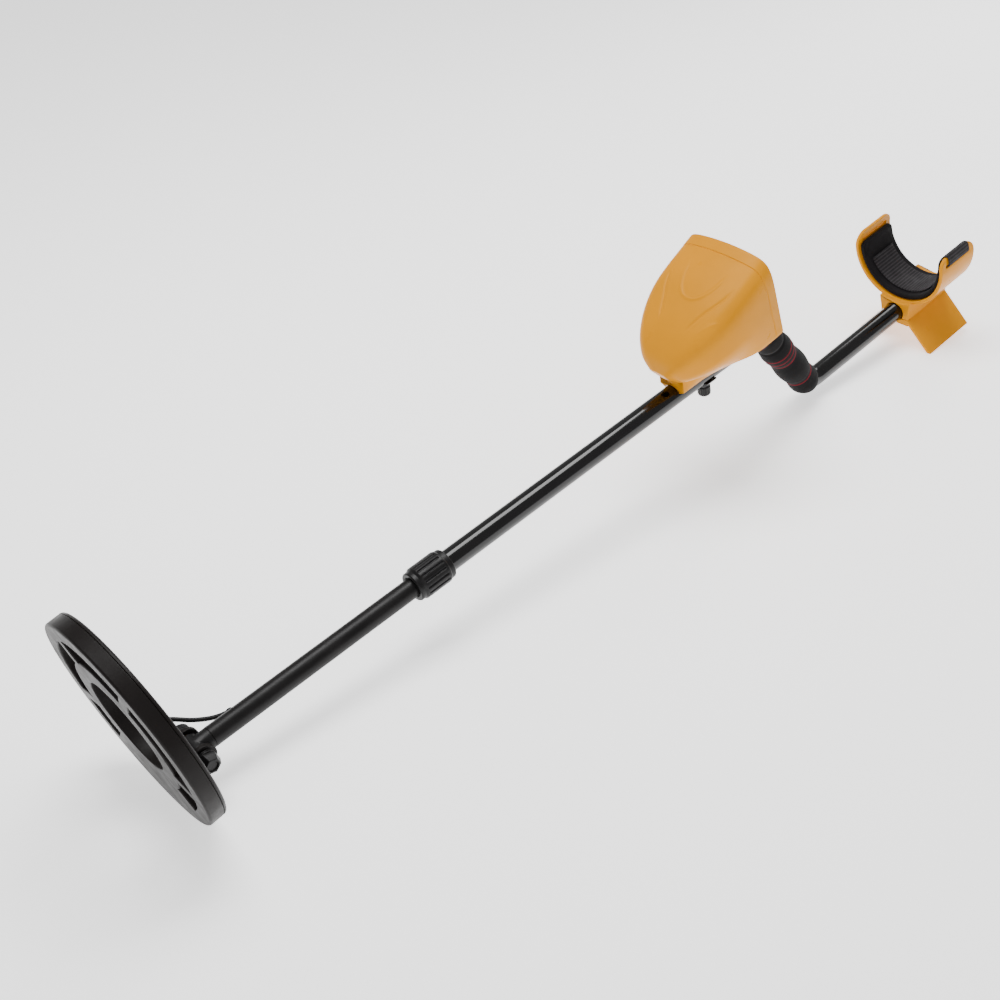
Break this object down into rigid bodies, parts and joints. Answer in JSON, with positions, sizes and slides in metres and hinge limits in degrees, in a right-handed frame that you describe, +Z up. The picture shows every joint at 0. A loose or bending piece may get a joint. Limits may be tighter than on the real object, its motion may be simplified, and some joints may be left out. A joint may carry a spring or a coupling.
{
  "type": "metal detector",
  "caption": "Hand-held metal detector: round open coil on a tilting hinge, telescoping stem, S-shaped rod with foam grip, hooded control box and padded armrest with splayed legs.",
  "frame": {"origin": "centre of the bounding box's base, on the floor that the coil's rim and the legs' front corners stand on", "axes": "+X from the coil to the armrest, +Y towards the side away from the hinge knob, +Z up"},
  "size_m": [1.1184, 0.206, 0.247],
  "materials": {
    "gloss_tube": "gloss black powder coat",
    "satin_tube": "satin black",
    "coil_plastic": "satin black moulding",
    "black_plastic": "satin black moulding",
    "yellow_plastic": "satin yellow-orange moulding",
    "clear_plastic": "smoked clear window",
    "display": "grey-green display",
    "board": "green circuit board",
    "battery": "plain battery jacket",
    "steel": "plated steel",
    "copper": "enamelled copper winding",
    "nylon": "black nylon",
    "rubber": "matt black rubber",
    "cable": "black cable sheath",
    "foam": "black closed-cell foam",
    "webbing": "black ribbed webbing"
  },
  "bodies": {
    "handle": {"s_rod": "gloss_tube", "collet": "nylon", "end_plug": "rubber", "foam_grip": "foam", "base_tray": "yellow_plastic", "hood": "yellow_plastic", "rear_panel": "black_plastic", "display_window": "clear_plastic", "display_module": "display", "circuit_board": "board", "potentiometer_1": "steel", "potentiometer_2": "steel", "potentiometer_3": "steel", "headphone_jack": "steel", "speaker": "rubber", "panel_screw_1": "steel", "panel_screw_2": "steel", "panel_screw_3": "steel", "panel_screw_4": "steel", "battery_holder": "nylon", "battery_1": "battery", "battery_2": "battery", "saddle_washer": "black_plastic", "arm_cuff": "yellow_plastic", "arm_pad": "foam", "arm_strap": "webbing", "stand": "yellow_plastic", "stand_screw_1": "steel", "stand_screw_2": "steel", "stand_screw_3": "steel", "stand_screw_4": "steel"},
    "collar": {"lock_collar": "black_plastic"},
    "box_screw": {"thumb_screw": "black_plastic"},
    "stem_slider": {"guide_bush": "nylon"},
    "stem": {"lower_stem": "satin_tube", "stem_tongue": "satin_tube", "stem_lead": "cable"},
    "coil": {"coil_shell": "coil_plastic", "coil_lid": "coil_plastic", "outer_winding": "copper", "inner_winding": "copper", "cable_gland": "rubber", "washer_far": "rubber", "washer_near": "rubber", "hinge_spacer": "black_plastic", "hinge_bolt": "black_plastic", "coil_lead": "cable"},
    "hinge_knob": {"hinge_knob": "black_plastic"},
    "knob_1": {"knob_1": "black_plastic"},
    "knob_2": {"knob_2": "black_plastic"},
    "knob_3": {"knob_3": "black_plastic"},
    "button_1": {"button_1": "rubber"},
    "button_2": {"button_2": "rubber"}
  },
  "joints": [
    {"name": "collar_twist", "type": "hinge", "parent": "handle", "child": "collar", "pos_m": [-0.22931, 0, 0.06923], "axis": [0.9931, 0, 0.117], "range_deg": [0, 90]},
    {"name": "box_screw_turn", "type": "hinge", "parent": "handle", "child": "box_screw", "pos_m": [0.14545, 0, 0.09326], "axis": [0.117, 0, -0.9931], "continuous": true},
    {"name": "stem_slide", "type": "slide", "parent": "handle", "child": "stem_slider", "axis": [-0.9931, 0, -0.117], "range_m": [-0.11, 0.2]},
    {"name": "stem_turn", "type": "hinge", "parent": "stem_slider", "child": "stem", "pos_m": [-0.48951, 0, 0.03857], "axis": [0.9931, 0, 0.117], "range_deg": [-90, 90]},
    {"name": "coil_tilt", "type": "hinge", "parent": "stem", "child": "coil", "pos_m": [-0.48951, 0, 0.03857], "axis": [0, 1, 0], "range_deg": [-80, 30]},
    {"name": "hinge_knob_turn", "type": "hinge", "parent": "coil", "child": "hinge_knob", "pos_m": [-0.48951, -0.025, 0.03857], "axis": [0, -1, 0], "continuous": true},
    {"name": "knob_1_turn", "type": "hinge", "parent": "handle", "child": "knob_1", "pos_m": [0.19773, -0.032, 0.17321], "axis": [0.9616, 0, 0.2745], "range_deg": [-150, 150]},
    {"name": "knob_2_turn", "type": "hinge", "parent": "handle", "child": "knob_2", "pos_m": [0.19773, 0, 0.17321], "axis": [0.9616, 0, 0.2745], "range_deg": [-150, 150]},
    {"name": "knob_3_turn", "type": "hinge", "parent": "handle", "child": "knob_3", "pos_m": [0.19773, 0.032, 0.17321], "axis": [0.9616, 0, 0.2745], "range_deg": [-150, 150]},
    {"name": "button_1_press", "type": "slide", "parent": "handle", "child": "button_1", "axis": [-0.9616, 0, -0.2745], "range_m": [0, 0.0014], "stiffness_N_per_m": 800, "springref_m": -0.0004},
    {"name": "button_2_press", "type": "slide", "parent": "handle", "child": "button_2", "axis": [-0.9616, 0, -0.2745], "range_m": [0, 0.0014], "stiffness_N_per_m": 800, "springref_m": -0.0004}
  ]
}
